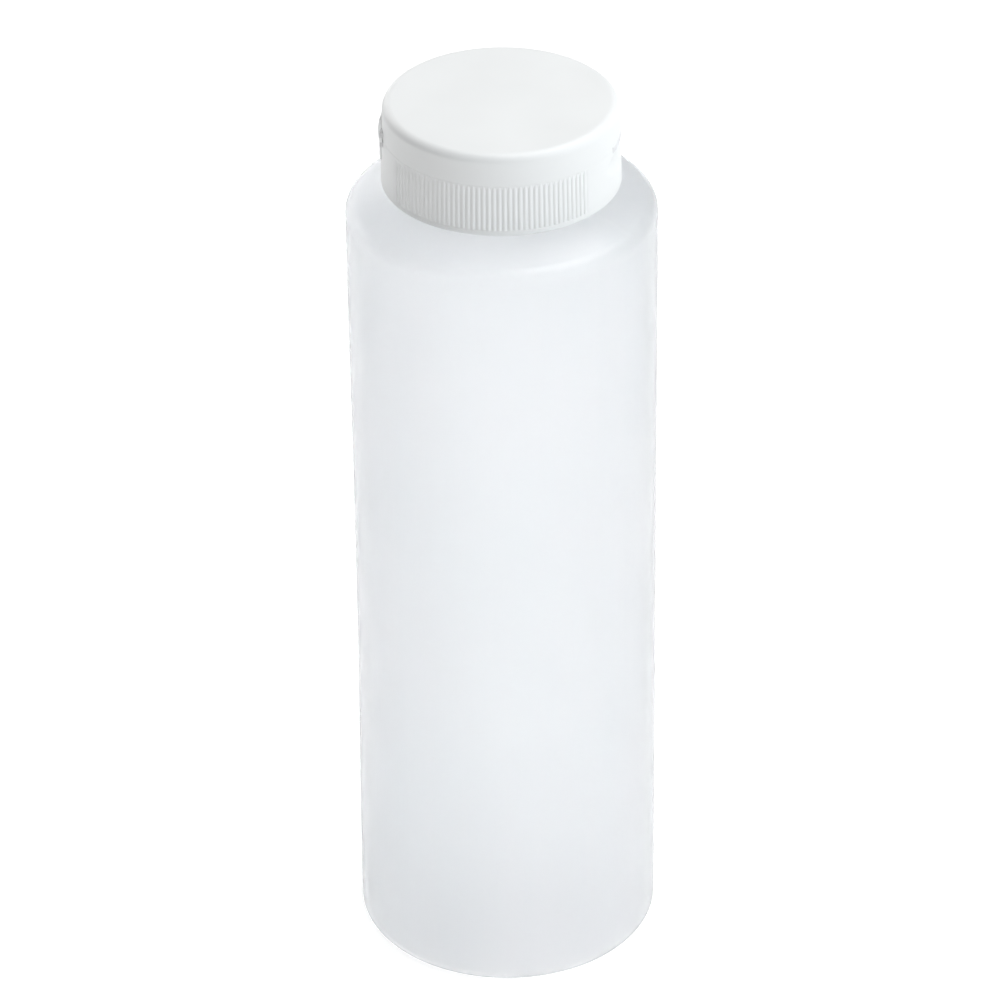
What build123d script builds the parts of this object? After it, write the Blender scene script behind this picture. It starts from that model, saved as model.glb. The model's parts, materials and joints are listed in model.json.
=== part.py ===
from build123d import *
import math
import os

# Squeeze reagent bottle with a screw closure and a snap-open lid.
# Millimetres. Origin at the centre of the foot plane, +Z up the axis,
# lid hinge on the -X side, thumb recess on the +X side.

# Bottle body: blow-moulded polyethylene
body_radius = 27.8
straight_top = 150.4          # height where the wall starts to turn into the shoulder
shoulder_corner_radius = 2.9
shoulder_slope = 19.0         # degrees above level
base_corner_radius = 2.5
foot_ring_width = 3.6
push_up_height = 2.6          # how far the middle of the base is domed inwards
push_up_step = 1.4
body_wall = 1.0

# Neck finish: 38 mm, one and a quarter turns at six to the inch
neck_radius = 17.4
neck_height = 9.8
bore_radius = 15.0
lip_edge = 0.4
thread_pitch = 25.4 / 6
thread_depth = 1.25
thread_root_width = 2.4
thread_crest_width = 1.2
thread_turns = 1.22
thread_start_drop = 2.7       # from the lip down to the middle of the top turn

# Sealing liner: foam ring clamped on the neck's lip
liner_thickness = 0.8
liner_overhang = 1.5          # how far it reaches inside the bore
liner_side_clearance = 0.15

# Closure: injection-moulded polypropylene
skirt_gap = 1.0               # from the neck's root up to the closure's lower edge
skirt_wall = 2.4              # from the skirt's bore to its outside at the lower edge
closure_draft = 1.65          # degrees, narrowing upwards
skirt_bottom_round = 0.4
thread_clearance = 0.3
thread_flank_gap = 0.25
skirt_thread_turns = 1.05
skirt_thread_rise = 1.35      # from the lower edge up to the middle of the lowest turn
seam_rise = 9.7               # from the lower edge up to the lid seam
deck_thickness = 1.2
deck_rim = 1.65               # width of the ledge that the lid's wall sits on

# Grip: shallow grooves between plain pads at the hinge and the thumb recess
groove_pitch = 2.5            # degrees
groove_depth = 0.32
groove_width = 0.52
plain_pad = 36.0              # half-angle of each plain pad, degrees
plain_rim = 1.1               # ungrooved band along the lower edge

# Pouring spout in the deck
orifice_radius = 4.0
spout_wall = 1.6
spout_height = 2.4

# Lid
lid_height = 5.9
lid_edge_radius = 1.6
lid_top_thickness = 1.4
lid_fit_clearance = 0.15
seal_clearance = 0.25
seal_wall = 1.0
seal_lap = 1.2                # how far the lid's ring reaches down past the spout's tip

# Thumb recess and the lid's lifting tab
recess_radius = 2.75
recess_depth = 1.25
recess_drop = 3.0             # below the seam, to the middle of the scoop
tab_half_width = 5.0
tab_drop = 0.9
tab_thickness = 1.1
tab_proud = 0.12
tab_clearance = 0.15

# Hinge: two film hinges and a bowed spring strap between them
land_inset = 0.85             # how far the flat land lies inside the skirt's lower edge
hinge_axis_stand_off = 0.15   # of the pivot line outside the land
ear_inset = 0.03              # ears stay just inside the pivot line
ear_centre = 5.9
ear_width = 2.0
ear_height = 1.2
film_half_height = 0.3
film_thickness = 0.35
film_relief = 0.1             # gap behind each film
land_below_seam = 5.2
land_above_seam = 2.7
strap_half_width = 4.2
strap_crease_drop = 2.4       # below the seam, where the strap folds
strap_bow = 0.8               # outer face of the upper lobe beyond the land
strap_lower_bow = 0.6
strap_end = 0.5               # thickness where the strap meets the closure and the lid
strap_crease = 0.3
strap_back_gap = 0.12

# Derived places
slope_sine = math.sin(math.radians(shoulder_slope))
slope_cosine = math.cos(math.radians(shoulder_slope))
draft_tangent = math.tan(math.radians(closure_draft))
shoulder_edge_r = body_radius - shoulder_corner_radius * (1 - slope_sine)
shoulder_edge_z = straight_top + shoulder_corner_radius * slope_cosine
neck_root = shoulder_edge_z + (shoulder_edge_r - neck_radius) * slope_sine / slope_cosine
neck_top = neck_root + neck_height
thread_radius = neck_radius + thread_depth
skirt_bore = thread_radius + thread_clearance
skirt_radius = skirt_bore + skirt_wall
skirt_bottom = neck_root + skirt_gap
deck_bottom = neck_top + liner_thickness
deck_top = deck_bottom + deck_thickness
seam = skirt_bottom + seam_rise
closure_top = seam + lid_height
spout_radius = orifice_radius + spout_wall
spout_top = deck_top + spout_height
hinge_land = skirt_radius - land_inset
hinge_x = -(hinge_land + hinge_axis_stand_off)


def closure_radius(z):
    """Radius of the closure's smooth outside at a height."""
    return skirt_radius - (z - skirt_bottom) * draft_tangent


deck_radius = closure_radius(seam) - deck_rim
lid_bore = deck_radius + lid_fit_clearance


def block(x0, x1, y0, y1, z0, z1):
    """A box from its low and high corners."""
    size = (x1 - x0, y1 - y0, z1 - z0)
    middle = ((x0 + x1) / 2, (y0 + y1) / 2, (z0 + z1) / 2)
    return Pos(*middle) * Box(*size)


def disc(radius, z0, z1):
    """An upright cylinder on the axis."""
    return Pos(0, 0, (z0 + z1) / 2) * Cylinder(radius, z1 - z0)


def outline_face(lines):
    """A flat face bounded by lines and arcs that meet end to end."""
    return make_face([edge for line in lines for edge in line.edges()])


def spun(lines):
    """The solid swept by an outline in the XZ plane, closed along the axis."""
    return revolve(outline_face(lines), Axis.Z, 360)


def body_form(inset, neck_r, top):
    """The bottle's shape, moved inwards by a wall; the outline runs up the outside."""
    wall_r = body_radius - inset
    low_r = base_corner_radius - inset
    high_r = shoulder_corner_radius - inset
    low_centre = body_radius - base_corner_radius
    high_centre = body_radius - shoulder_corner_radius
    foot_r = low_centre - foot_ring_width
    step_r = foot_r - push_up_step
    low_mid = (low_centre + low_r * math.sqrt(0.5), 0, base_corner_radius - low_r * math.sqrt(0.5))
    half = math.radians(90 - shoulder_slope) / 2
    high_mid = (high_centre + high_r * math.cos(half), 0, straight_top + high_r * math.sin(half))
    edge_r = high_centre + high_r * slope_sine
    edge_z = straight_top + high_r * slope_cosine
    root_z = edge_z + (edge_r - neck_r) * slope_sine / slope_cosine
    dome_mid = (step_r * 0.5, 0, inset + push_up_step + (push_up_height - push_up_step) * 0.75)
    centre = (0, 0, inset + push_up_height)
    step = (step_r, 0, inset + push_up_step)
    foot = (foot_r, 0, inset)
    low_start = (low_centre, 0, inset)
    low_end = (wall_r, 0, base_corner_radius)
    high_start = (wall_r, 0, straight_top)
    high_end = (edge_r, 0, edge_z)
    lines = [
        ThreePointArc(centre, dome_mid, step),
        Line(step, foot),
        Line(foot, low_start),
        ThreePointArc(low_start, low_mid, low_end),
        Line(low_end, high_start),
        ThreePointArc(high_start, high_mid, high_end),
        Polyline(high_end, (neck_r, 0, root_z), (neck_r, 0, top), (0, 0, top), centre),
    ]
    return spun(lines)


def thread_ridge(start_z, turns, inner_r, outer_r, inner_width, outer_width):
    """A right-hand helical ridge with a tapering section."""
    helix = Helix(thread_pitch, turns * thread_pitch, (inner_r + outer_r) / 2, center=(0, 0, start_z))
    section = Wire.make_polygon(
        [
            Vector(inner_r, 0, start_z - inner_width / 2),
            Vector(outer_r, 0, start_z - outer_width / 2),
            Vector(outer_r, 0, start_z + outer_width / 2),
            Vector(inner_r, 0, start_z + inner_width / 2),
        ]
    )
    return sweep(Face(section), path=helix, is_frenet=True)


thread_sink = 0.2             # how far a ridge is rooted in its wall
flank = (thread_root_width - thread_crest_width) / 2 / thread_depth
thread_low = neck_top - thread_start_drop - thread_turns * thread_pitch


def make_bottle():
    outside = body_form(0, neck_radius, neck_top)
    inside = body_form(body_wall, bore_radius, neck_top + 1)
    shell = outside - inside
    lip = shell.edges().filter_by(GeomType.CIRCLE).filter_by(lambda e: abs(e.center().Z - neck_top) < 0.01)
    shell = fillet(lip, lip_edge)
    root_width = thread_root_width + 2 * flank * thread_sink
    ridge = thread_ridge(
        thread_low, thread_turns, neck_radius - thread_sink, thread_radius, root_width, thread_crest_width
    )
    return shell + ridge


def make_liner():
    outer = skirt_bore - liner_side_clearance
    inner = bore_radius - liner_overhang
    return disc(outer, neck_top, deck_bottom) - disc(inner, neck_top - 1, deck_bottom + 1)


def ear(z0, z1):
    """A pair of small bosses that carry the film hinges."""
    front = block(hinge_x + ear_inset, -deck_radius, -ear_centre - ear_width / 2, -ear_centre + ear_width / 2, z0, z1)
    return front + mirror(front, Plane.XZ)


def film_block(side, relief):
    """The space of one film hinge, grown backwards by a relief; side is -1 or 1 along Y."""
    x0 = hinge_x + ear_inset
    y0 = side * ear_centre - ear_width / 2
    low = seam - film_half_height
    high = seam + film_half_height
    return block(x0, x0 + film_thickness + relief, y0, y0 + ear_width, low, high)


def film_cuts():
    return film_block(-1, film_relief) + film_block(1, film_relief)


def hinge_land_cut(z0, z1):
    """What is cut away to leave the flat land behind the strap."""
    return block(-body_radius, -hinge_land, -strap_half_width - 1.2, strap_half_width + 1.2, z0, z1)


def tab_form(gap):
    """The lifting tab that hangs from the lid, grown by a gap."""
    outer = closure_radius(seam) + tab_proud
    low = seam - tab_drop - gap
    ring = disc(outer, low, seam + gap) - disc(outer - tab_thickness - gap, low - 1, seam + 1)
    window = block(0, body_radius, -tab_half_width - gap, tab_half_width + gap, low, seam + gap)
    return ring & window


def groove():
    """One upright groove on the +X side, leaning inwards with the skirt's draft."""
    low = skirt_bottom + plain_rim
    high = seam + 1
    depth_low = closure_radius(low) - groove_depth
    half = groove_width / 2
    reach = groove_depth + 0.6
    section = Wire.make_polygon(
        [
            Vector(depth_low, 0, low),
            Vector(depth_low + reach, -half * reach / groove_depth, low),
            Vector(depth_low + reach, half * reach / groove_depth, low),
        ]
    )
    lean = Vector(-draft_tangent * (high - low), 0, high - low)
    return extrude(Face(section), amount=lean.length, dir=lean)


def make_grooves():
    cutters = []
    count = round(360 / groove_pitch)
    one = groove()
    for index in range(count):
        angle = (index + 0.5) * groove_pitch
        from_pad = min(angle % 180, 180 - angle % 180)
        if from_pad > plain_pad:
            cutters.append(Rot(0, 0, angle) * one)
    return cutters


def make_closure():
    top_r = closure_radius(seam)
    low_r = closure_radius(skirt_bottom + skirt_bottom_round)
    lines = [
        Polyline(
            (0, 0, skirt_bottom),
            (low_r - skirt_bottom_round, 0, skirt_bottom),
            (low_r, 0, skirt_bottom + skirt_bottom_round),
            (top_r, 0, seam),
            (deck_radius, 0, seam),
            (deck_radius, 0, deck_top),
            (spout_radius, 0, deck_top),
            (spout_radius, 0, spout_top),
            (0, 0, spout_top),
            (0, 0, skirt_bottom),
        )
    ]
    shell = spun(lines)
    shell -= disc(skirt_bore, skirt_bottom - 1, deck_bottom)
    shell -= disc(orifice_radius, deck_bottom - 1, spout_top + 1)
    shell -= make_grooves()
    scoop_x = closure_radius(seam - recess_drop) - recess_depth + recess_radius
    scoop = Pos(scoop_x, 0, seam - recess_drop) * Rot(90, 0, 0) * Cylinder(recess_radius, 2 * body_radius)
    shell -= scoop
    shell -= tab_form(tab_clearance)
    shell -= hinge_land_cut(seam - land_below_seam, seam + 1)
    shell += ear(seam - film_half_height - ear_height, seam - film_half_height)
    shell -= film_cuts()
    crest_r = neck_radius + thread_clearance
    crest_width = 0.9
    root_width = crest_width + 2 * flank * (skirt_bore + thread_sink - crest_r)
    below = thread_root_width / 2 - flank * thread_clearance + crest_width / 2 + thread_flank_gap
    turn_gap = skirt_bottom + skirt_thread_rise - (thread_low - below)
    ridge = thread_ridge(
        thread_low - below, skirt_thread_turns, crest_r, skirt_bore + thread_sink, crest_width, root_width
    )
    advance = Pos(0, 0, turn_gap) * Rot(0, 0, 360 * turn_gap / thread_pitch)
    return shell + advance * ridge


def make_lid():
    top_r = closure_radius(closure_top)
    edge_low = closure_top - lid_edge_radius
    side_r = closure_radius(edge_low)
    mid = lid_edge_radius * math.sqrt(0.5)
    round_centre = side_r - lid_edge_radius
    under = closure_top - lid_top_thickness
    lines = [
        Polyline((0, 0, seam), (closure_radius(seam), 0, seam), (side_r, 0, edge_low)),
        ThreePointArc(
            (side_r, 0, edge_low),
            (round_centre + mid, 0, edge_low + mid),
            (round_centre, 0, closure_top),
        ),
        Polyline((round_centre, 0, closure_top), (0, 0, closure_top), (0, 0, seam)),
    ]
    shell = spun(lines)
    shell -= disc(lid_bore, seam - 1, under)
    seal_in = spout_radius + seal_clearance
    seal_low = spout_top - seal_lap
    shell += disc(seal_in + seal_wall, seal_low, under) - disc(seal_in, seal_low - 1, under)
    shell += tab_form(0)
    shell -= hinge_land_cut(seam - 1, seam + land_above_seam)
    lid_ear = ear(seam + film_half_height, seam + film_half_height + ear_height)
    shell += lid_ear - disc(lid_bore, seam - 1, under)
    return shell - film_cuts()


def make_strap():
    """The bowed strap, flat across its width, creased between its two lobes."""
    land = -hinge_land
    back = land - strap_back_gap
    low = seam - land_below_seam
    fold = seam - strap_crease_drop
    high = seam + land_above_seam
    low_out = (land - strap_end, 0, low)
    fold_out = (back - strap_crease, 0, fold)
    high_out = (land - strap_end, 0, high)
    upper_mid = (land - strap_bow, 0, (fold + high) / 2)
    lower_mid = (land - strap_lower_bow, 0, (low + fold) / 2)
    lines = [
        ThreePointArc(low_out, lower_mid, fold_out),
        ThreePointArc(fold_out, upper_mid, high_out),
        Polyline(high_out, (back, 0, high), (back, 0, low), low_out),
    ]
    return extrude(outline_face(lines), amount=strap_half_width, both=True, dir=(0, 1, 0))


os.makedirs("parts", exist_ok=True)
pieces = {
    "bottle": make_bottle(),
    "sealing_liner": make_liner(),
    "closure_base": make_closure(),
    "flip_lid": make_lid(),
    "hinge_strap": make_strap(),
    "film_hinge_front": film_block(-1, 0),
    "film_hinge_back": film_block(1, 0),
}
for name, solid in pieces.items():
    export_step(solid, f"parts/{name}.step")
    print(name, round(solid.volume, 1), len(solid.solids()), solid.is_valid)
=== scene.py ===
import json
import math
import bmesh
import bpy
from mathutils import Matrix, Vector


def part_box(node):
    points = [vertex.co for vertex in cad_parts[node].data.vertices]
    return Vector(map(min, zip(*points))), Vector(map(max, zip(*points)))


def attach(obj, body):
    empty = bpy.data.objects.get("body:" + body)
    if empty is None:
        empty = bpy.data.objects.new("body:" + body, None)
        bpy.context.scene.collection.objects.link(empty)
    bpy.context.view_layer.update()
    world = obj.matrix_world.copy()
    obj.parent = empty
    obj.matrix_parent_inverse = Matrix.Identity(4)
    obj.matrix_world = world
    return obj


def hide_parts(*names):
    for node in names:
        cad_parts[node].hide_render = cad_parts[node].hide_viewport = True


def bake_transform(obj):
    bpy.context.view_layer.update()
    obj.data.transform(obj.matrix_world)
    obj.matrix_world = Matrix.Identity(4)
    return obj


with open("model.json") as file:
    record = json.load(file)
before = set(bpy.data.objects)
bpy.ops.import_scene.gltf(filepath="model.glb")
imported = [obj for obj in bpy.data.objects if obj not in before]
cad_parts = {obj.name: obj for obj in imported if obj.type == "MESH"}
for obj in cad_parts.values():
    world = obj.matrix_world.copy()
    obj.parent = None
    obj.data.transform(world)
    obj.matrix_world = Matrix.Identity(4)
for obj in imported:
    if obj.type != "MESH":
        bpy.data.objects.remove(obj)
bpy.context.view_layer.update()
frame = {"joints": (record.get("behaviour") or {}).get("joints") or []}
mm = 0.001

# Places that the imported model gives, in millimetres
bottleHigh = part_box("bottle")[1] / mm
baseLow, baseHigh = [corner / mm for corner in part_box("closure_base")]
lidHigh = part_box("flip_lid")[1] / mm
linerLow, linerHigh = [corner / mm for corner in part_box("sealing_liner")]
strapLow, strapHigh = [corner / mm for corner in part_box("hinge_strap")]
lidJoint = [joint for joint in frame["joints"] if joint["name"] == "lid_flip"][0]
pivotX = lidJoint["pos_m"][0] / mm
seamZ = lidJoint["pos_m"][2] / mm
skirtZ = baseLow.z
neckTopZ = bottleHigh.z
deckLowZ = linerHigh.z
spoutTopZ = baseHigh.z
lidTopZ = lidHigh.z


def addNode(tree, kind, inputs=None, **settings):
    made = tree.nodes.new(kind)
    for key, value in settings.items():
        setattr(made, key, value)
    for key, value in (inputs or {}).items():
        if isinstance(value, bpy.types.NodeSocket):
            tree.links.new(value, made.inputs[key])
        else:
            made.inputs[key].default_value = value
    return made


def hexColour(text):
    channels = [int(text[i:i + 2], 16) / 255 for i in (1, 3, 5)]
    linear = [c / 12.92 if c <= 0.04045 else ((c + 0.055) / 1.055) ** 2.4 for c in channels]
    return (*linear, 1.0)


def newMesh(name, points, faces, edges=()):
    mesh = bpy.data.meshes.new(name)
    mesh.from_pydata([Vector(p) * mm for p in points], list(edges), faces)
    made = bpy.data.objects.new(name, mesh)
    bpy.context.scene.collection.objects.link(made)
    return made


def stackFaces(rings, ring):
    # side faces between rings of points that are stacked in order, and the two end faces
    faces = []
    for i in range(rings - 1):
        for k in range(ring):
            n = (k + 1) % ring
            faces.append((i * ring + k, i * ring + n, (i + 1) * ring + n, (i + 1) * ring + k))
    faces.append(tuple(reversed(range(ring))))
    faces.append(tuple(range((rings - 1) * ring, rings * ring)))
    return faces


def closeUp(made, smooth=True):
    # merges doubles, turns every face outwards and shades it
    work = bmesh.new()
    work.from_mesh(made.data)
    bmesh.ops.remove_doubles(work, verts=work.verts, dist=0.0005 * mm)
    bmesh.ops.recalc_face_normals(work, faces=work.faces)
    for face in work.faces:
        face.smooth = smooth
    work.to_mesh(made.data)
    work.free()
    return made


def joinInto(target, others):
    # adds other meshes to a target's mesh and removes their objects
    work = bmesh.new()
    work.from_mesh(target.data)
    for other in others:
        work.from_mesh(other.data)
    work.to_mesh(target.data)
    work.free()
    for other in others:
        bpy.data.objects.remove(other)
    return target


arcStep = math.radians(11)          # turn between two points of a rounding
edgeSupport = 0.06                  # from a rounding to the next point of the straight beside it


def roundedOutline(corners, spacing, closed=False):
    # (radius, height, rounding) corners to points: arcs at corners, straights cut at a spacing
    count = len(corners)
    stretches = []
    for i, (r, z, rounding) in enumerate(corners):
        here = Vector((r, z))
        ends = not closed and i in (0, count - 1)
        if ends or rounding == 0:
            stretches.append([here])
            continue
        before = (Vector(corners[i - 1][:2]) - here).normalized()
        after = (Vector(corners[(i + 1) % count][:2]) - here).normalized()
        half = before.angle(after) / 2
        back = rounding / math.tan(half)
        centre = here + (before + after).normalized() * (rounding / math.sin(half))
        first = here + before * back - centre
        last = here + after * back - centre
        turn = first.angle_signed(last)
        steps = max(3, round(abs(turn) / arcStep))
        stretches.append([centre + Matrix.Rotation(-turn * k / steps, 2) @ first for k in range(steps + 1)])
    points = []
    total = count if closed else count - 1
    for i in range(total):
        points += stretches[i]
        start = stretches[i][-1]
        run = stretches[(i + 1) % count][0] - start
        cuts = max(1, math.ceil(run.length / spacing))
        shares = [k / cuts for k in range(1, cuts)]
        support = edgeSupport / run.length if run.length > 0.4 else 0
        if support:
            shares = [support] + shares + [1 - support]
        points += [start + run * share for share in sorted(shares)]
    points += stretches[0][:1] if closed else stretches[-1]
    return [(p.x, p.y) for p in points]


print("helpers ready")


def makeTurningTree():
    # turns an outline about Z; rows carry what departs from the plain turned shape
    tree = bpy.data.node_groups.new("turnedShape", "GeometryNodeTree")
    face = tree.interface
    face.new_socket("Outline", in_out="INPUT", socket_type="NodeSocketGeometry")
    for name, kind, value in (
        ("Segments", "NodeSocketInt", 360),
        ("Start Angle", "NodeSocketFloat", 0.0),
        ("Thread Pitch", "NodeSocketFloat", 0.0042),
        ("Thread Start", "NodeSocketFloat", 0.0),
        ("Thread Angle", "NodeSocketFloat", 0.0),
        ("Thread Turns", "NodeSocketFloat", 1.0),
        ("Thread Root Half", "NodeSocketFloat", 0.0012),
        ("Thread Crest Half", "NodeSocketFloat", 0.0006),
        ("Line Width", "NodeSocketFloat", 0.0004),
        ("Bow Angle", "NodeSocketFloat", 0.0),
        ("Pad Cosine", "NodeSocketFloat", 0.8),
        ("Material", "NodeSocketMaterial", None),
    ):
        made = face.new_socket(name, in_out="INPUT", socket_type=kind)
        if value is not None:
            made.default_value = value
    face.new_socket("Geometry", in_out="OUTPUT", socket_type="NodeSocketGeometry")
    given = addNode(tree, "NodeGroupInput").outputs

    def calc(operation, a, b=0.0, c=0.0):
        return addNode(tree, "ShaderNodeMath", {0: a, 1: b, 2: c}, operation=operation).outputs[0]

    size = addNode(tree, "GeometryNodeAttributeDomainSize", {0: given["Outline"]})
    rows = size.outputs["Point Count"]
    columns = calc("ADD", given["Segments"], 1.0)
    grid = addNode(tree, "GeometryNodeMeshGrid", {"Vertices X": columns, "Vertices Y": rows})
    index = addNode(tree, "GeometryNodeInputIndex").outputs[0]
    column = calc("FLOOR", calc("DIVIDE", calc("ADD", index, 0.5), rows))
    row = calc("SUBTRACT", index, calc("MULTIPLY", column, rows))
    share = calc("MODULO", calc("DIVIDE", column, given["Segments"]), 1.0)
    angle = calc("MULTIPLY_ADD", share, math.tau, given["Start Angle"])

    def ofRow(field, kind):
        inputs = {0: given["Outline"], 1: field, 2: row}
        return addNode(tree, "GeometryNodeSampleIndex", inputs, data_type=kind, domain="POINT").outputs[0]

    def rowValue(name):
        stored = addNode(tree, "GeometryNodeInputNamedAttribute", {"Name": name}, data_type="FLOAT")
        return ofRow(stored.outputs[0], "FLOAT")

    sampled = ofRow(addNode(tree, "GeometryNodeInputPosition").outputs[0], "FLOAT_VECTOR")
    parts = addNode(tree, "ShaderNodeSeparateXYZ", {0: sampled}).outputs
    radius, height = parts["X"], parts["Z"]

    # helical thread: distance from the ridge's middle line, then a flat-topped section
    climb = calc("DIVIDE", calc("SUBTRACT", angle, given["Thread Angle"]), math.tau)
    turnsUp = calc("DIVIDE", calc("SUBTRACT", height, given["Thread Start"]), given["Thread Pitch"])
    phase = calc("SUBTRACT", turnsUp, climb)
    whole = calc("ROUND", phase)
    away = calc("ABSOLUTE", calc("MULTIPLY", calc("SUBTRACT", phase, whole), given["Thread Pitch"]))
    along = calc("ADD", whole, climb)
    flank = calc("SUBTRACT", given["Thread Root Half"], given["Thread Crest Half"])
    rise = calc("DIVIDE", calc("SUBTRACT", given["Thread Root Half"], away), flank)
    rise = addNode(tree, "ShaderNodeClamp", {0: rise}).outputs[0]
    startIn = addNode(tree, "ShaderNodeClamp", {0: calc("MULTIPLY_ADD", along, 22.0, 1.0)}).outputs[0]
    stopShort = calc("MULTIPLY_ADD", calc("SUBTRACT", given["Thread Turns"], along), 22.0, 1.0)
    stopShort = addNode(tree, "ShaderNodeClamp", {0: stopShort}).outputs[0]
    ridge = calc("MULTIPLY", rise, calc("MULTIPLY", startIn, stopShort))
    shaped = calc("MULTIPLY_ADD", ridge, rowValue("threadLift"), radius)

    # parting line of the blow mould, at the first column and opposite it
    fromLine = calc("ABSOLUTE", calc("SINE", calc("SUBTRACT", angle, given["Start Angle"])))
    lineAway = calc("DIVIDE", calc("MULTIPLY", fromLine, radius), given["Line Width"])
    lineShape = calc("EXPONENT", calc("MULTIPLY", calc("MULTIPLY", lineAway, lineAway), -1.0))
    shaped = calc("MULTIPLY_ADD", lineShape, rowValue("lineLift"), shaped)

    # a wall drawn in on one side, and the grip band's drop between the plain pads
    bowSide = calc("MAXIMUM", calc("COSINE", calc("SUBTRACT", angle, given["Bow Angle"])), 0.0)
    shaped = calc("SUBTRACT", shaped, calc("MULTIPLY", calc("MULTIPLY", bowSide, bowSide), rowValue("bow")))
    cosine = calc("COSINE", angle)
    inBand = calc("MULTIPLY", calc("SUBTRACT", given["Pad Cosine"], calc("ABSOLUTE", cosine)), 80.0)
    inBand = addNode(tree, "ShaderNodeClamp", {0: inBand}).outputs[0]
    shaped = calc("SUBTRACT", shaped, calc("MULTIPLY", inBand, rowValue("gripDrop")))

    # flats across the +X and the -X side
    shaped = calc("MINIMUM", shaped, calc("DIVIDE", rowValue("frontFlat"), calc("MAXIMUM", cosine, 0.01)))
    minusCosine = calc("MULTIPLY", cosine, -1.0)
    shaped = calc("MINIMUM", shaped, calc("DIVIDE", rowValue("backFlat"), calc("MAXIMUM", minusCosine, 0.01)))
    across, deep = calc("MULTIPLY", shaped, cosine), calc("MULTIPLY", shaped, calc("SINE", angle))
    spot = addNode(tree, "ShaderNodeCombineXYZ", {0: across, 1: deep, 2: height}).outputs[0]
    moved = addNode(tree, "GeometryNodeSetPosition", {"Geometry": grid.outputs["Mesh"], "Position": spot})
    joined = {"Geometry": moved.outputs[0], "Distance": 0.002 * mm}
    merged = addNode(tree, "GeometryNodeMergeByDistance", joined)
    real = addNode(tree, "GeometryNodeRealizeInstances", {0: merged.outputs[0]})
    finish = {"Geometry": real.outputs[0], "Material": given["Material"]}
    addNode(tree, "NodeGroupOutput", {0: addNode(tree, "GeometryNodeSetMaterial", finish).outputs[0]})
    return tree


def runTree(made, tree, values):
    # sets the tree's inputs by identifier, evaluates it and keeps the result as a plain mesh
    modifier = made.modifiers.new("shape", "NODES")
    modifier.node_group = tree
    for item in tree.interface.items_tree:
        if item.item_type == "SOCKET" and item.in_out == "INPUT" and item.name in values:
            modifier[item.identifier] = values[item.name]
    bpy.context.view_layer.update()
    evaluated = made.evaluated_get(bpy.context.evaluated_depsgraph_get())
    mesh = bpy.data.meshes.new_from_object(evaluated)
    made.modifiers.clear()
    old = made.data
    made.data = mesh
    bpy.data.meshes.remove(old)
    mesh.name = made.name
    return closeUp(made)


turningTree = makeTurningTree()
rowNames = ("threadLift", "lineLift", "bow", "gripDrop", "frontFlat", "backFlat")


def turnOutline(name, outline, rowRule, material, **values):
    # rowRule(radius, height) gives a row's departures in millimetres
    points = [(r, 0, z) for r, z in outline]
    made = newMesh(name, points, [], [(i, i + 1) for i in range(len(points) - 1)])
    for attribute in rowNames:
        layer = made.data.attributes.new(attribute, "FLOAT", "POINT")
        missing = 1000.0 if attribute.endswith("Flat") else 0.0
        layer.data.foreach_set("value", [rowRule(r, z).get(attribute, missing) * mm for r, z in outline])
    values["Material"] = material
    return runTree(made, turningTree, values)


print("turning tree ready")


def startMaterial(name):
    material = bpy.data.materials.new(name)
    material.use_nodes = True
    tree = material.node_tree
    tree.nodes.clear()
    return material, tree, addNode(tree, "ShaderNodeTexCoord").outputs["Object"]


def finishMaterial(tree, inputs):
    shader = addNode(tree, "ShaderNodeBsdfPrincipled", inputs)
    addNode(tree, "ShaderNodeOutputMaterial", {0: shader.outputs[0]})


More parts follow.
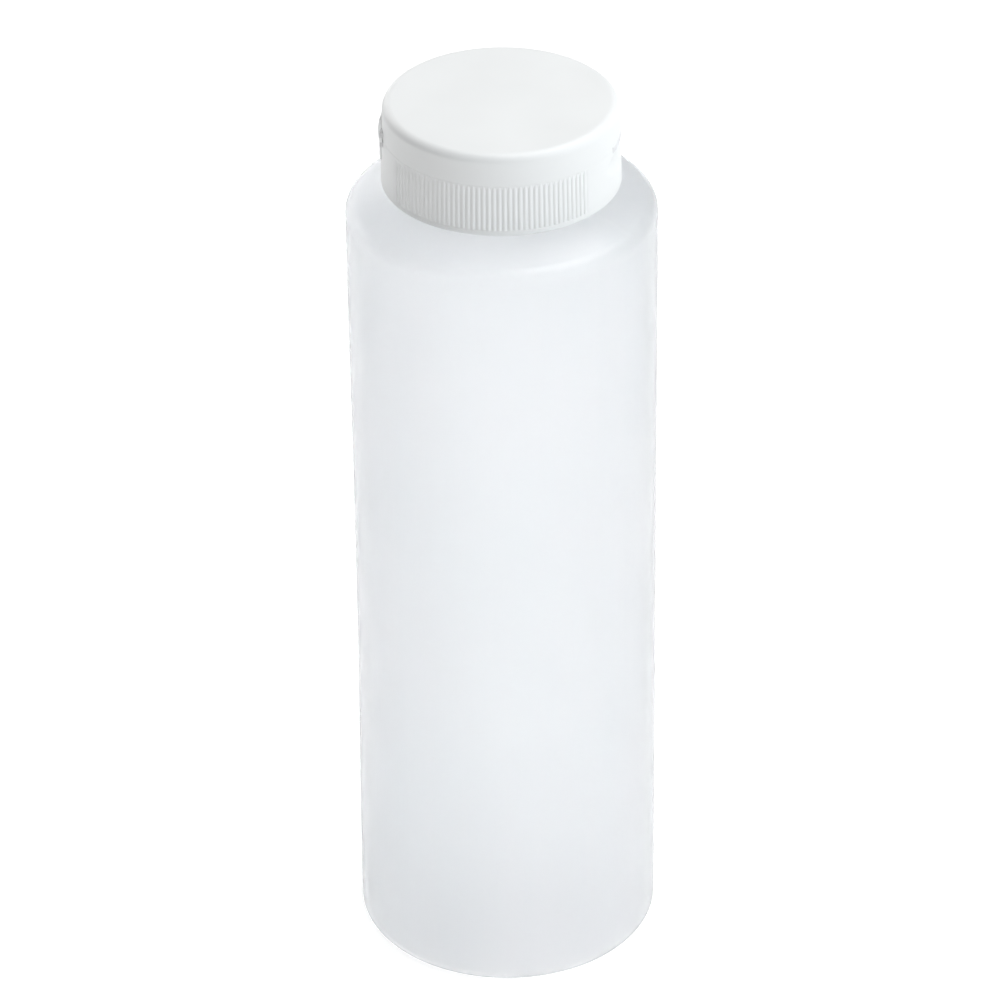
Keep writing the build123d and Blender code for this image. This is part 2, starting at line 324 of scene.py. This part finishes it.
# Natural low-density polyethylene, blow-moulded: milky and see-through in part, so its
# shade is even all round; its skin is satin, with faint upright flow marks from the parison
def makeNaturalPolyethylene():
    look = {
        "pale": "#FCFCFD",
        "shade": "#F6F8F9",
        "flowWidth": 3.0,           # mm between flow marks
        "flowPerMetre": 6.0,        # along the bottle, where the marks hardly change
        "cloudPerMetre": 28.0,      # slow change of milkiness
        "orangePeel": 1.3,          # mm, ripple of the mould's skin
        "scuffWidth": 0.25,         # mm
        "scuffLength": 5.0,         # mm
        "dullest": 0.82,
        "glossiest": 0.72,
    }
    material, tree, place = startMaterial("naturalPolyethylene")
    flowScale, scuffScale = 1 / (look["flowWidth"] * mm), 1 / (look["scuffWidth"] * mm)
    stretched = {"Vector": place, "Scale": (flowScale, flowScale, look["flowPerMetre"])}
    upright = addNode(tree, "ShaderNodeMapping", stretched).outputs[0]
    streaks = {"Vector": upright, "Scale": 1.0, "Detail": 3.0, "Roughness": 0.5}
    flow = addNode(tree, "ShaderNodeTexNoise", streaks)
    clouds = {"Vector": place, "Scale": look["cloudPerMetre"], "Detail": 2.0, "Roughness": 0.5}
    cloud = addNode(tree, "ShaderNodeTexNoise", clouds)
    ripple = {"Vector": place, "Scale": 1 / (look["orangePeel"] * mm), "Detail": 2.0, "Roughness": 0.45}
    peel = addNode(tree, "ShaderNodeTexNoise", ripple)
    stretched = {"Vector": place, "Scale": (scuffScale, scuffScale, 1 / (look["scuffLength"] * mm))}
    stretched["Rotation"] = (0.3, 0.2, 0.0)
    slanted = addNode(tree, "ShaderNodeMapping", stretched).outputs[0]
    scuff = addNode(tree, "ShaderNodeTexNoise", {"Vector": slanted, "Scale": 1.0, "Detail": 2.0})
    marks = {0: flow.outputs["Fac"], 1: 0.5, 2: cloud.outputs["Fac"]}
    mixed = addNode(tree, "ShaderNodeMath", marks, operation="MULTIPLY_ADD")
    tone = addNode(tree, "ShaderNodeMapRange", {0: mixed.outputs[0], 1: 0.45, 2: 1.05, 3: 0.0, 4: 1.0})
    tones = {0: tone.outputs[0], 6: hexColour(look["shade"]), 7: hexColour(look["pale"])}
    colour = addNode(tree, "ShaderNodeMix", tones, data_type="RGBA")
    scuffed = {0: scuff.outputs["Fac"], 1: 0.3, 2: 0.75, 3: look["glossiest"], 4: look["dullest"]}
    gloss = addNode(tree, "ShaderNodeMapRange", scuffed)
    relief = {"Strength": 0.12, "Distance": 0.06 * mm, "Height": flow.outputs["Fac"]}
    flowBump = addNode(tree, "ShaderNodeBump", relief)
    relief = {"Strength": 0.2, "Distance": 0.02 * mm, "Height": peel.outputs["Fac"]}
    relief["Normal"] = flowBump.outputs[0]
    peelBump = addNode(tree, "ShaderNodeBump", relief)
    finishMaterial(
        tree,
        {
            "Base Color": colour.outputs[2],
            "Roughness": gloss.outputs[0],
            "Normal": peelBump.outputs[0],
            "IOR": 1.51,
            "Transmission Weight": 1.0,
            "Coat Weight": 0.5,
            "Coat Roughness": 0.22,
        },
    )
    return material


# White polypropylene, injection-moulded in a finely spark-eroded tool: opaque, low satin
# sheen, a fine even grain and a cloudy gloss where the melt front ran. Where it is thinned
# for bending it is given a painted glow: an even emission that stands in for light from
# behind coming through it.
def makeWhitePolypropylene(name, paintedGlow):
    look = {
        "pale": "#F2F3F2",
        "shade": "#EDEEED",
        "grain": 0.25,              # mm, coarser than the real 0.05 so that it shows
        "cloud": 14.0,              # mm
        "dullest": 0.5,
        "glossiest": 0.4,
    }
    material, tree, place = startMaterial(name)
    fineGrain = {"Vector": place, "Scale": 1 / (look["grain"] * mm), "Detail": 3.0, "Roughness": 0.6}
    grain = addNode(tree, "ShaderNodeTexNoise", fineGrain)
    clouds = {"Vector": place, "Scale": 1 / (look["cloud"] * mm), "Detail": 3.0, "Roughness": 0.5}
    cloud = addNode(tree, "ShaderNodeTexNoise", clouds).outputs["Fac"]
    tones = {0: cloud, 6: hexColour(look["shade"]), 7: hexColour(look["pale"])}
    colour = addNode(tree, "ShaderNodeMix", tones, data_type="RGBA")
    cloudy = {0: cloud, 1: 0.3, 2: 0.7, 3: look["glossiest"], 4: look["dullest"]}
    gloss = addNode(tree, "ShaderNodeMapRange", cloudy)
    relief = {"Strength": 0.15, "Distance": 0.015 * mm, "Height": grain.outputs["Fac"]}
    bump = addNode(tree, "ShaderNodeBump", relief)
    finishMaterial(
        tree,
        {
            "Base Color": colour.outputs[2],
            "Roughness": gloss.outputs[0],
            "Normal": bump.outputs[0],
            "IOR": 1.49,
            # painted glow: white emission in place of light coming through thin plastic from behind
            "Emission Color": hexColour("#FFFFFF"),
            "Emission Strength": paintedGlow,
        },
    )
    return material


# Polyethylene foam, closed-cell and skived to a sheet: dull, with small open cells on its faces
def makeFoamLiner():
    look = {
        "pale": "#F6F6F3",
        "shade": "#E6E6E2",
        "cell": 0.35,               # mm
    }
    material, tree, place = startMaterial("foamLiner")
    cells = addNode(tree, "ShaderNodeTexVoronoi", {"Vector": place, "Scale": 1 / (look["cell"] * mm)})
    fromCentre = cells.outputs["Distance"]
    tones = {0: fromCentre, 6: hexColour(look["shade"]), 7: hexColour(look["pale"])}
    colour = addNode(tree, "ShaderNodeMix", tones, data_type="RGBA").outputs[2]
    relief = {"Strength": 0.5, "Distance": 0.06 * mm, "Height": fromCentre}
    bump = addNode(tree, "ShaderNodeBump", relief).outputs[0]
    finishMaterial(tree, {"Base Color": colour, "Roughness": 0.75, "Normal": bump, "IOR": 1.45})
    return material


naturalPolyethylene = makeNaturalPolyethylene()
whitePolypropylene = makeWhitePolypropylene("whitePolypropylene", 0.0)
# the hinge strap and film webs get a painted glow, emission of strength 0.08 standing in for light through
# them
thinPolypropyleneWithPaintedGlow = makeWhitePolypropylene("thinPolypropyleneWithPaintedGlow", 0.08)
foamLiner = makeFoamLiner()
print("materials ready")


def tuck(z, slope):
    return z * math.tan(math.radians(slope))


def makeBottle():
    size = {
        "wall": 1.0,
        "neckRadius": 17.4,
        "boreRadius": 15.0,
        "neckHeight": 9.8,
        "shoulderSlope": 19.0,      # degrees
        "shoulderRounding": 2.9,
        "baseRounding": 2.5,
        "footInside": 21.7,
        "pushUpEdge": 20.3,
        "pushUpEdgeHeight": 1.4,
        "pushUpHeight": 2.6,
        "threadDepth": 1.25,
        "threadPitch": 25.4 / 6,
        "threadTurns": 1.22,
        "threadDrop": 2.7,
        "rootHalf": 1.2,
        "crestHalf": 0.6,
        "lineHeight": 0.14,         # parting line
        "lineWidth": 0.35,
        "lineAngle": -22.35,        # degrees from +X
        "bow": 0.35,                # how far the wall is drawn in on the hinge side
        "segments": 360,
    }
    radius = bottleHigh.x
    wall = size["wall"]
    neckRoot = neckTopZ - size["neckHeight"]
    slope = size["shoulderSlope"]
    fall = wall / math.cos(math.radians(slope))

    def coneHeight(r):
        return neckRoot - tuck(r - size["neckRadius"], slope)

    inner = radius - wall
    outline = roundedOutline(
        [
            (0, size["pushUpHeight"], 0),
            (size["pushUpEdge"] * 0.5, size["pushUpHeight"] - 0.3, 60),
            (size["pushUpEdge"], size["pushUpEdgeHeight"], 1.2),
            (size["footInside"], 0, 0.7),
            (radius, 0, size["baseRounding"]),
            (radius, coneHeight(radius), size["shoulderRounding"]),
            (size["neckRadius"], neckRoot, 0.7),
            (size["neckRadius"], neckTopZ, 0.4),
            (size["boreRadius"], neckTopZ, 0.4),
            (size["boreRadius"], coneHeight(size["boreRadius"]) - fall, 1.2),
            (inner, coneHeight(inner) - fall, size["shoulderRounding"] - wall),
            (inner, wall, size["baseRounding"] - wall),
            (size["footInside"], wall, 1.2),
            (size["pushUpEdge"], size["pushUpEdgeHeight"] + wall, 0.7),
            (size["pushUpEdge"] * 0.5, size["pushUpHeight"] + wall - 0.3, 60),
            (0, size["pushUpHeight"] + wall, 0),
        ],
        8.0,
    )
    outline = refine(outline, lambda r, z: abs(r - size["neckRadius"]) < 0.05 and z > neckRoot, 0.2)
    tall = coneHeight(radius)

    def rowRule(r, z):
        onShoulder = z > coneHeight(r) - 0.5 * wall and r > size["neckRadius"] + 0.8
        onNeck = abs(r - size["neckRadius"]) < 0.05 and z > neckRoot + 0.4
        share = min(1, max(0, z / tall))
        wallRow = r > inner - 0.5
        return {
            "threadLift": size["threadDepth"] if onNeck else 0,
            "lineLift": size["lineHeight"] if onShoulder else 0,
            "bow": size["bow"] * math.sin(math.pi * share) ** 2 if wallRow else 0,
        }

    made = turnOutline(
        "bottle_shell",
        outline,
        rowRule,
        naturalPolyethylene,
        **{
            "Segments": size["segments"],
            "Start Angle": math.radians(size["lineAngle"]),
            "Thread Pitch": size["threadPitch"] * mm,
            "Thread Start": (neckTopZ - size["threadDrop"] - size["threadTurns"] * size["threadPitch"]) * mm,
            "Thread Turns": size["threadTurns"],
            "Thread Root Half": size["rootHalf"] * mm,
            "Thread Crest Half": size["crestHalf"] * mm,
            "Line Width": size["lineWidth"] * mm,
            "Bow Angle": math.pi,
        },
    )
    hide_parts("bottle")
    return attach(made, "bottle")


def refine(outline, chosen, spacing):
    # cuts the chosen stretches of an outline finer
    points = [outline[0]]
    for a, b in zip(outline, outline[1:]):
        length = math.dist(a, b)
        if chosen(*a) and chosen(*b) and length > spacing:
            cuts = math.ceil(length / spacing)
            for k in range(1, cuts):
                points.append((a[0] + (b[0] - a[0]) * k / cuts, a[1] + (b[1] - a[1]) * k / cuts))
        points.append(b)
    return points


closureSize = {
    "skirtRadius": 21.35,
    "draft": 1.65,                  # degrees
    "deckRim": 1.65,
    "padAngle": 36.0,               # degrees each side of the hinge and of the thumb recess
    "gripDrop": 0.17,               # the valleys between the ribs, inside the plain pads
    "land": 20.5,
    "landBelow": 5.2,
    "landAbove": 2.7,
    "spoutWall": 1.6,
    "orifice": 4.0,
    "deckThickness": 1.2,
    "bore": 18.95,
    "threadDepth": 1.2,
    "threadPitch": 25.4 / 6,
    "threadRise": 1.35,             # from the lower edge up to the middle of the lowest turn
    "threadTurns": 1.05,
    "rootHalf": 1.0,
    "crestHalf": 0.45,
    "plainRim": 0.95,               # plain band under the ribs
    "rimDrop": 0.06,
    "recessRadius": 2.75,
    "recessDepth": 1.25,
    "recessDrop": 3.0,
    "tabDrop": 0.9,
    "tabThickness": 1.1,
    "tabHalfWidth": 5.0,
    "tabProud": 0.12,
    "earCentre": 5.9,
    "earWidth": 2.0,
    "earHeight": 1.2,
    "earRounding": 0.18,
    "filmHalf": 0.3,
    "filmThickness": 0.35,
}


def closureRadius(z):
    return closureSize["skirtRadius"] - tuck(z - skirtZ, closureSize["draft"])


deckRadius = closureRadius(seamZ) - closureSize["deckRim"]
deckTopZ = deckLowZ + closureSize["deckThickness"]
spoutRadius = closureSize["orifice"] + closureSize["spoutWall"]


def roundedBlock(name, low, high, rounding, bend=0.0):
    # a box with rounded edges; bend wraps it about the bottle's axis at that radius
    work = bmesh.new()
    bmesh.ops.create_cube(work, size=1.0)
    span = Vector(high) - Vector(low)
    middle = (Vector(high) + Vector(low)) / 2
    for vert in work.verts:
        vert.co = Vector((vert.co.x * span.x, vert.co.y * span.y, vert.co.z * span.z)) + middle
    if bend:
        across = [e for e in work.edges if abs((e.verts[0].co - e.verts[1].co).y) > span.y * 0.9]
        bmesh.ops.subdivide_edges(work, edges=across, cuts=16, use_grid_fill=True)
    bmesh.ops.bevel(
        work,
        geom=[e for e in work.edges if e.calc_face_angle(0) > 0.5],
        offset=rounding,
        segments=4,
        profile=0.5,
        affect="EDGES",
    )
    if bend:
        for vert in work.verts:
            a = vert.co.y / bend
            vert.co = Vector((vert.co.x * math.cos(a), vert.co.x * math.sin(a), vert.co.z))
    for vert in work.verts:
        vert.co *= mm
    mesh = bpy.data.meshes.new(name)
    work.to_mesh(mesh)
    work.free()
    made = bpy.data.objects.new(name, mesh)
    bpy.context.scene.collection.objects.link(made)
    return closeUp(made)


def makeEars(name, low, high):
    size = closureSize
    ears = []
    for side in (-1, 1):
        y = side * size["earCentre"]
        half = size["earWidth"] / 2
        corners = (pivotX + 0.03, y - half, low), (-deckRadius + 0.3, y + half, high)
        ears.append(roundedBlock(name, *corners, size["earRounding"]))
    return ears


def makeRibTree():
    # copies one rib round the skirt and leaves the plain pads bare
    tree = bpy.data.node_groups.new("gripRibs", "GeometryNodeTree")
    face = tree.interface
    face.new_socket("Rib", in_out="INPUT", socket_type="NodeSocketGeometry")
    face.new_socket("Ribs Per Turn", in_out="INPUT", socket_type="NodeSocketInt").default_value = 144
    face.new_socket("Pad Cosine", in_out="INPUT", socket_type="NodeSocketFloat").default_value = 0.8
    face.new_socket("Material", in_out="INPUT", socket_type="NodeSocketMaterial")
    face.new_socket("Geometry", in_out="OUTPUT", socket_type="NodeSocketGeometry")
    given = addNode(tree, "NodeGroupInput").outputs
    index = addNode(tree, "GeometryNodeInputIndex").outputs[0]
    share = addNode(tree, "ShaderNodeMath", {0: index, 1: given["Ribs Per Turn"]}, operation="DIVIDE")
    angle = addNode(tree, "ShaderNodeMath", {0: share.outputs[0], 1: math.tau}, operation="MULTIPLY")
    cosine = addNode(tree, "ShaderNodeMath", {0: angle.outputs[0]}, operation="COSINE")
    size = addNode(tree, "ShaderNodeMath", {0: cosine.outputs[0]}, operation="ABSOLUTE")
    limits = {0: size.outputs[0], 1: given["Pad Cosine"]}
    onPad = addNode(tree, "FunctionNodeCompare", limits, data_type="FLOAT", operation="GREATER_THAN")
    oneSpot = {"Count": given["Ribs Per Turn"], "Offset": (0.0, 0.0, 0.0)}
    line = addNode(tree, "GeometryNodeMeshLine", oneSpot, mode="OFFSET")
    spots = addNode(tree, "GeometryNodeMeshToPoints", {"Mesh": line.outputs[0]})
    turn = addNode(tree, "ShaderNodeCombineXYZ", {2: angle.outputs[0]})
    copies = {"Points": spots.outputs[0], "Instance": given["Rib"], "Rotation": turn.outputs[0]}
    ribs = addNode(tree, "GeometryNodeInstanceOnPoints", copies)
    unwanted = {"Geometry": ribs.outputs[0], "Selection": onPad.outputs[0]}
    kept = addNode(tree, "GeometryNodeDeleteGeometry", unwanted, domain="INSTANCE")
    real = addNode(tree, "GeometryNodeRealizeInstances", {0: kept.outputs[0]})
    finish = {"Geometry": real.outputs[0], "Material": given["Material"]}
    addNode(tree, "NodeGroupOutput", {0: addNode(tree, "GeometryNodeSetMaterial", finish).outputs[0]})
    return tree


def makeRibs():
    size = {
        "perTurn": 144,
        "width": 0.7,
        "proud": 0.02,              # of the skirt's plain pads
        "crown": 0.15,              # how far the crest is rounded off at its sides
        "root": 0.45,               # from crest to the hidden foot
        "lowGap": 1.0,              # above the skirt's lower edge
        "highGap": 0.03,            # below the seam
        "endRun": 0.25,             # length over which a rib's end fades
    }
    low = skirtZ + size["lowGap"]
    high = seamZ - size["highGap"]
    across = 8
    stations = [0, 0.12, 0.3, 0.6, 1.0]
    heights = [low + size["endRun"] * s for s in stations]
    heights += [high - size["endRun"] * s for s in reversed(stations)]
    fades = [math.sqrt(1 - (1 - s) ** 2) for s in stations]
    fades += list(reversed(fades))
    points = []
    for z, fade in zip(heights, fades):
        crest = closureRadius(z) + size["proud"]
        root = crest - size["root"]
        points.append((root, -size["width"] / 2, z))
        for k in range(across + 1):
            t = 2 * k / across - 1
            top = crest - size["crown"] * abs(t) ** 2.5 - closureSize["gripDrop"] * (1 - fade)
            points.append((top, t * size["width"] / 2, z))
        points.append((root, size["width"] / 2, z))
    made = newMesh("rib", points, stackFaces(len(heights), across + 3))
    padCosine = math.cos(math.radians(closureSize["padAngle"]))
    values = {"Ribs Per Turn": size["perTurn"], "Pad Cosine": padCosine, "Material": whitePolypropylene}
    return runTree(made, makeRibTree(), values)


def makeClosureBase():
    size = closureSize
    edge = 0.01
    landLow = seamZ - size["landBelow"]
    slotLow = seamZ - size["tabDrop"] - 0.15
    rim = skirtZ + size["plainRim"]
    steps = ((rim, edge * 8), (landLow, edge), (slotLow, edge))
    outer = [(closureRadius(z), z, 0) for step, near in steps for z in (step - near, step + near)]
    outline = roundedOutline(
        [
            (size["bore"], skirtZ, 0.3),
            (size["skirtRadius"], skirtZ, 0.4),
            *outer,
            (closureRadius(seamZ), seamZ, 0.04),
            (deckRadius, seamZ, 0.15),
            (deckRadius, deckTopZ, 0.3),
            (spoutRadius, deckTopZ, 0.45),
            (spoutRadius, spoutTopZ, 0.45),
            (size["orifice"], spoutTopZ, 0.45),
            (size["orifice"], deckLowZ, 0.25),
            (size["bore"], deckLowZ, 0.4),
        ],
        2.0,
        closed=True,
    )
    recessZ = seamZ - size["recessDrop"]
    recessX = closureRadius(recessZ) - size["recessDepth"] + size["recessRadius"]

    def inRecess(r, z):
        return r > 20 and recessZ - 2.7 < z < seamZ - 0.3

    def inThread(r, z):
        return abs(r - size["bore"]) < 0.01 and skirtZ + 0.3 < z < seamZ - 0.5

    outline = refine(outline, lambda r, z: inRecess(r, z) or inThread(r, z), 0.2)

    def rowRule(r, z):
        rule = {}
        outside = r > 20.2
        if outside and skirtZ + 0.35 < z < rim:
            rule["gripDrop"] = size["rimDrop"]
        if outside and rim <= z < seamZ - 0.2:
            rule["gripDrop"] = size["gripDrop"]
        if outside and z > landLow:
            rule["backFlat"] = size["land"]
        if outside and abs(z - recessZ) < size["recessRadius"]:
            rule["frontFlat"] = recessX - math.sqrt(size["recessRadius"] ** 2 - (z - recessZ) ** 2)
        if abs(r - size["bore"]) < 0.01 and skirtZ + 0.4 < z < deckLowZ - 0.5:
            rule["threadLift"] = -size["threadDepth"]
        return rule

    made = turnOutline(
        "closure_shell",
        outline,
        rowRule,
        whitePolypropylene,
        **{
            "Segments": 360,
            "Thread Pitch": size["threadPitch"] * mm,
            "Thread Start": (skirtZ + size["threadRise"]) * mm,
            "Thread Angle": 0.0,
            "Thread Turns": size["threadTurns"],
            "Thread Root Half": size["rootHalf"] * mm,
            "Thread Crest Half": size["crestHalf"] * mm,
            "Pad Cosine": math.cos(math.radians(size["padAngle"])),
        },
    )
    earTop = seamZ - size["filmHalf"]
    ears = makeEars("base_ear", earTop - size["earHeight"], earTop)
    joinInto(made, [makeRibs(), *ears])
    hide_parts("closure_base")
    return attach(made, "closure")


def makeLid():
    size = {
        "edgeRounding": 1.6,
        "topThickness": 1.4,
        "bore": deckRadius + 0.15,
        "sealIn": spoutRadius + 0.25,
        "sealWall": 1.0,
        "sealLap": 1.2,
    }
    under = lidTopZ - size["topThickness"]
    sealLow = spoutTopZ - size["sealLap"]
    landHigh = seamZ + closureSize["landAbove"]
    edge = 0.01
    outline = roundedOutline(
        [
            (0, lidTopZ, 0),
            (closureRadius(lidTopZ), lidTopZ, size["edgeRounding"]),
            (closureRadius(landHigh), landHigh + edge, 0),
            (closureRadius(landHigh), landHigh - edge, 0),
            (closureRadius(seamZ), seamZ, 0.07),
            (size["bore"], seamZ, 0.2),
            (size["bore"], under, 0.5),
            (size["sealIn"] + size["sealWall"], under, 0.3),
            (size["sealIn"] + size["sealWall"], sealLow, 0.3),
            (size["sealIn"], sealLow, 0.35),
            (size["sealIn"], under, 0.3),
            (0, under, 0),
        ],
        2.5,
    )

    def rowRule(r, z):
        return {"backFlat": closureSize["land"]} if r > 20.2 and z < landHigh else {}

    made = turnOutline("lid_shell", outline, rowRule, whitePolypropylene, Segments=300)
    tabOut = closureRadius(seamZ) + closureSize["tabProud"]
    tab = roundedBlock(
        "lid_tab",
        (tabOut - closureSize["tabThickness"], -closureSize["tabHalfWidth"], seamZ - closureSize["tabDrop"]),
        (tabOut, closureSize["tabHalfWidth"], seamZ + 0.5),
        0.2,
        bend=tabOut,
    )
    earLow = seamZ + closureSize["filmHalf"]
    ears = makeEars("lid_ear", earLow, earLow + closureSize["earHeight"])
    joinInto(made, [tab, *ears])
    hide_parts("flip_lid")
    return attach(made, "lid")


def makeStrap():
    size = {
        "halfWidth": strapHigh.y,
        "fold": seamZ - 2.4,
        "backGap": 0.12,
        "upperBow": 0.8,
        "lowerBow": 0.6,
        "end": 0.5,
        "crease": 0.42,
        "rounding": 0.12,
        "stations": 48,
        "ringSteps": 5,             # points on each rounded edge
    }
    land = -closureSize["land"]
    stations = size["stations"]
    ringSteps = size["ringSteps"]
    points = []
    low, high, fold = strapLow.z, strapHigh.z, size["fold"]
    for i in range(stations + 1):
        z = low + (high - low) * i / stations
        upper = z > fold
        a, b = (fold, high) if upper else (low, fold)
        bow = size["upperBow"] if upper else size["lowerBow"]
        share = (z - a) / (b - a)
        ends = (size["crease"], size["end"]) if upper else (size["end"], size["crease"])
        outward = ends[0] + (ends[1] - ends[0]) * share
        outward += (bow - (ends[0] + ends[1]) / 2) * math.sin(math.pi * share)
        outer = land - outward
        inner = land - size["backGap"]
        r = min(size["rounding"], (inner - outer) * 0.45)
        for cx, cy, start in (
            (inner - r, size["halfWidth"] - r, 0),
            (outer + r, size["halfWidth"] - r, 90),
            (outer + r, -size["halfWidth"] + r, 180),
            (inner - r, -size["halfWidth"] + r, 270),
        ):
            for k in range(ringSteps):
                a = math.radians(start + 90 * k / (ringSteps - 1))
                points.append((cx + r * math.cos(a), cy + r * math.sin(a), z))
    made = closeUp(newMesh("hinge_spring_strap", points, stackFaces(stations + 1, ringSteps * 4)))
    made.data.materials.append(thinPolypropyleneWithPaintedGlow)
    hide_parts("hinge_strap")
    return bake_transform(made)


def makeFilm(side, node):
    # the web runs a little way into both ears and is thinnest at the pivot line
    size = closureSize
    y = side * size["earCentre"]
    half = size["earWidth"] / 2 - 0.02
    reach = size["filmHalf"] + 0.25
    waistHeight = 0.15
    rows = 12
    points = []
    for i in range(rows + 1):
        z = seamZ - reach + 2 * reach * i / rows
        waist = math.exp(-((z - seamZ) / waistHeight) ** 2)
        outer = pivotX + 0.04 + 0.03 * waist
        inner = pivotX + 0.2 + size["filmThickness"]
        points += [(inner, y + half, z), (outer, y + half, z), (outer, y - half, z), (inner, y - half, z)]
    made = closeUp(newMesh(node + "_web", points, stackFaces(rows + 1, 4)), smooth=False)
    made.data.materials.append(thinPolypropyleneWithPaintedGlow)
    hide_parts(node)
    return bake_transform(made)


def makeLiner():
    size = {
        "inside": 13.5,
        "rounding": 0.15,
    }
    low, high, rounding = linerLow.z, linerHigh.z, size["rounding"]
    corners = ((size["inside"], low), (linerHigh.x, low), (linerHigh.x, high), (size["inside"], high))
    outline = roundedOutline([(r, z, rounding) for r, z in corners], 1.5, closed=True)
    made = turnOutline("foam_sealing_ring", outline, lambda r, z: {}, foamLiner, Segments=180)
    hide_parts("sealing_liner")
    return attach(made, "liner")


bottle = makeBottle()
print("bottle", len(bottle.data.polygons))
closureBase = makeClosureBase()
print("closure base", len(closureBase.data.polygons))
lid = makeLid()
print("lid", len(lid.data.polygons))
strap = makeStrap()
films = [makeFilm(-1, "film_hinge_front"), makeFilm(1, "film_hinge_back")]
liner = makeLiner()
print("hinge and liner ready")


def makeCamera():
    size = {
        "azimuth": 8.65,            # degrees, seen from the -Y side and a little to +X
        "distance": 898.8,
        "height": 654.8,
        "pitch": 32.166,
        "yaw": -0.052,
        "roll": -0.573,
        "lens": 208.53,
    }
    turn = Matrix.Rotation(math.radians(size["azimuth"]), 3, "Z")
    pitch, yaw, roll = (math.radians(size[key]) for key in ("pitch", "yaw", "roll"))
    ahead = Vector((math.sin(yaw) * math.cos(pitch), math.cos(yaw) * math.cos(pitch), -math.sin(pitch)))
    right = Vector((math.cos(yaw), -math.sin(yaw), 0))
    up = right.cross(ahead)
    right, up = right * math.cos(roll) + up * math.sin(roll), up * math.cos(roll) - right * math.sin(roll)
    axes = Matrix((turn @ right, turn @ up, turn @ -ahead)).transposed().to_4x4()
    place = turn @ Vector((0, -size["distance"], size["height"])) * mm
    data = bpy.data.cameras.new("camera")
    data.lens = size["lens"]
    data.sensor_width = 36
    data.clip_start = 0.01
    camera = bpy.data.objects.new("camera", data)
    bpy.context.scene.collection.objects.link(camera)
    camera.matrix_world = Matrix.Translation(place) @ axes
    bpy.context.scene.camera = camera
    return camera


# A white table lit from below: it gives even light from under the bottle and hides its shadow
def makeFloor():
    look = {
        "halfSize": 3.0,            # metres
        "colour": "#AAAAAA",
        "light": "#FFFFFF",
        "strength": 0.8,
    }
    work = bmesh.new()
    bmesh.ops.create_grid(work, x_segments=8, y_segments=8, size=look["halfSize"])
    mesh = bpy.data.meshes.new("floor")
    work.to_mesh(mesh)
    work.free()
    floor = bpy.data.objects.new("floor", mesh)
    bpy.context.scene.collection.objects.link(floor)
    material = bpy.data.materials.new("whiteTable")
    material.use_nodes = True
    shader = material.node_tree.nodes["Principled BSDF"]
    shader.inputs["Base Color"].default_value = hexColour(look["colour"])
    shader.inputs["Roughness"].default_value = 0.9
    shader.inputs["Specular IOR Level"].default_value = 0.0
    shader.inputs["Emission Color"].default_value = hexColour(look["light"])
    shader.inputs["Emission Strength"].default_value = look["strength"]
    floor.data.materials.append(material)


def makeLights():
    # metres and watts
    lights = {
        "overheadSoftbox": {"size": 1.6, "place": (0.5, 0.22, 1.7), "power": 28.0, "colour": "#FFFFFF"},
        "rightSoftbox": {"size": 0.9, "place": (1.3, -0.55, 0.7), "power": 6.8, "colour": "#EAF6FF"},
        "backSoftbox": {"size": 1.2, "place": (-1.0, 1.05, 0.28), "power": 9.0, "colour": "#FFFFFF"},
        "lowFill": {"size": 0.7, "place": (0.55, -1.3, 0.15), "power": 1.2, "colour": "#FFFFFF"},
    }
    aim = Vector((0, 0, 0.06))
    for name, light in lights.items():
        data = bpy.data.lights.new(name, "AREA")
        data.shape = "SQUARE"
        data.size = light["size"]
        data.energy = light["power"]
        data.color = hexColour(light["colour"])[:3]
        made = bpy.data.objects.new(name, data)
        bpy.context.scene.collection.objects.link(made)
        made.visible_camera = False
        made.location = light["place"]
        made.rotation_euler = (aim - made.location).to_track_quat("-Z", "Y").to_euler()
    world = bpy.data.worlds.new("softRoom")
    bpy.context.scene.world = world
    world.use_nodes = True
    world.node_tree.nodes["Background"].inputs[0].default_value = hexColour("#F4F6FA")
    world.node_tree.nodes["Background"].inputs[1].default_value = 0.16
    bpy.context.scene.view_settings.view_transform = "Standard"


makeCamera()
makeFloor()
makeLights()
print("camera, floor and lights ready")
